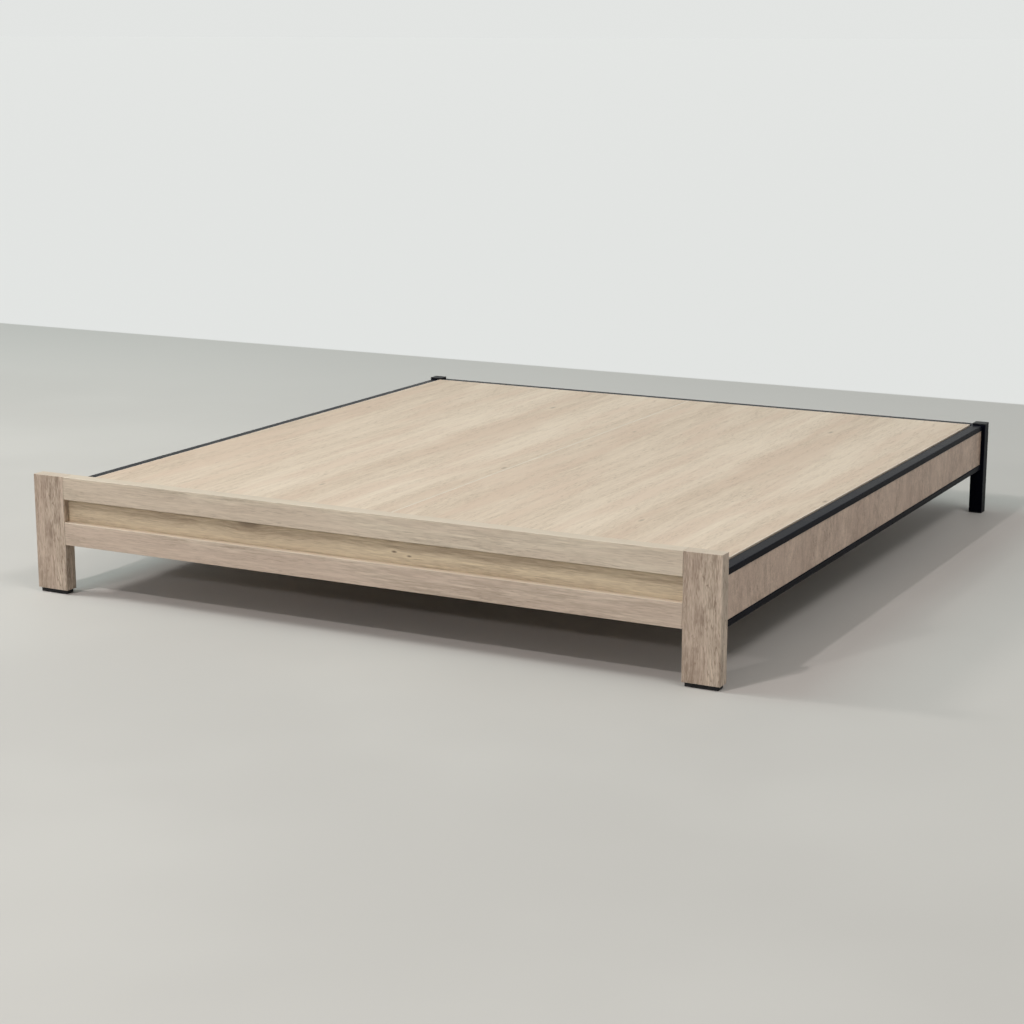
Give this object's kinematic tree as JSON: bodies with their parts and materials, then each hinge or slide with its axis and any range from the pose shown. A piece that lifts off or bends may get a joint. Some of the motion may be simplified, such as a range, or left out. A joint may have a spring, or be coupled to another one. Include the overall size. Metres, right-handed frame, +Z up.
{
  "type": "platform bed frame",
  "caption": "Low platform bed frame: oak-finish foot end, black steel rails with oak infill panels, and lift-out boards that carry a mattress.",
  "frame": {"origin": "on the floor, in the middle of the bed's outline", "axes": "+X to the right seen from the foot end, +Y from the foot end towards the head end, +Z up"},
  "size_m": [1.84, 2.014, 0.3],
  "materials": {
    "foot_end_oak": "pale weathered oak, satin lacquer",
    "foot_panel_oak": "pale weathered oak, satin lacquer",
    "side_panel_oak": "taupe weathered oak, satin lacquer",
    "platform_oak": "pale weathered oak, satin lacquer",
    "black_steel": "satin black powder coat",
    "black_plastic": "fine grained matt",
    "zinc_steel": "bright zinc plate"
  },
  "bodies": {
    "bed_frame": {"beam_bracket_front": "black_steel", "beam_bracket_rear": "black_steel", "bracket_screw_left": "zinc_steel", "bracket_screw_right": "zinc_steel", "centre_beam": "black_steel", "centre_leg_front": "black_steel", "centre_leg_rear": "black_steel", "cross_bar_1": "black_steel", "cross_bar_2": "black_steel", "cross_bar_3": "black_steel", "cross_bar_4": "black_steel", "cross_bar_5": "black_steel", "cross_bar_6": "black_steel", "foot_bottom_rail": "foot_end_oak", "foot_glide_left": "black_plastic", "foot_glide_right": "black_plastic", "foot_panel": "foot_panel_oak", "foot_post_left": "foot_end_oak", "foot_post_right": "foot_end_oak", "foot_top_rail": "foot_end_oak", "front_bolt_left_1": "zinc_steel", "front_bolt_left_2": "zinc_steel", "front_bolt_right_1": "zinc_steel", "front_bolt_right_2": "zinc_steel", "front_plate_left": "black_steel", "front_plate_right": "black_steel", "ledge_angle_left": "black_steel", "ledge_angle_right": "black_steel", "leg_plug_front": "black_plastic", "leg_plug_rear": "black_plastic", "rear_bolt_left_1": "zinc_steel", "rear_bolt_left_2": "zinc_steel", "rear_bolt_right_1": "zinc_steel", "rear_bolt_right_2": "zinc_steel", "rear_lower_rail": "black_steel", "rear_plate_left": "black_steel", "rear_plate_right": "black_steel", "rear_post_cap_left": "black_plastic", "rear_post_cap_right": "black_plastic", "rear_post_foot_left": "black_plastic", "rear_post_foot_right": "black_plastic", "rear_post_left": "black_steel", "rear_post_right": "black_steel", "rear_upper_rail": "black_steel", "rear_upright": "black_steel", "side_lower_rail_left": "black_steel", "side_lower_rail_right": "black_steel", "side_panel_left": "side_panel_oak", "side_panel_right": "side_panel_oak", "side_upper_rail_left": "black_steel", "side_upper_rail_right": "black_steel", "threaded_insert_left_1": "zinc_steel", "threaded_insert_left_2": "zinc_steel", "threaded_insert_right_1": "zinc_steel", "threaded_insert_right_2": "zinc_steel"},
    "board_left": {"platform_board_left": "platform_oak"},
    "board_right": {"platform_board_right": "platform_oak"},
    "front_leveller": {"levelling_foot_front": "zinc_steel"},
    "rear_leveller": {"levelling_foot_rear": "zinc_steel"}
  },
  "joints": [
    {"name": "board_left_lift", "type": "slide", "parent": "bed_frame", "child": "board_left", "axis": [0, 0, 1], "range_m": [0, 0.25]},
    {"name": "board_right_lift", "type": "slide", "parent": "bed_frame", "child": "board_right", "axis": [0, 0, 1], "range_m": [0, 0.25]},
    {"name": "front_leveller_screw", "type": "slide", "parent": "bed_frame", "child": "front_leveller", "axis": [0, 0, 1], "range_m": [-0.014, 0]},
    {"name": "rear_leveller_screw", "type": "slide", "parent": "bed_frame", "child": "rear_leveller", "axis": [0, 0, 1], "range_m": [-0.014, 0]}
  ]
}
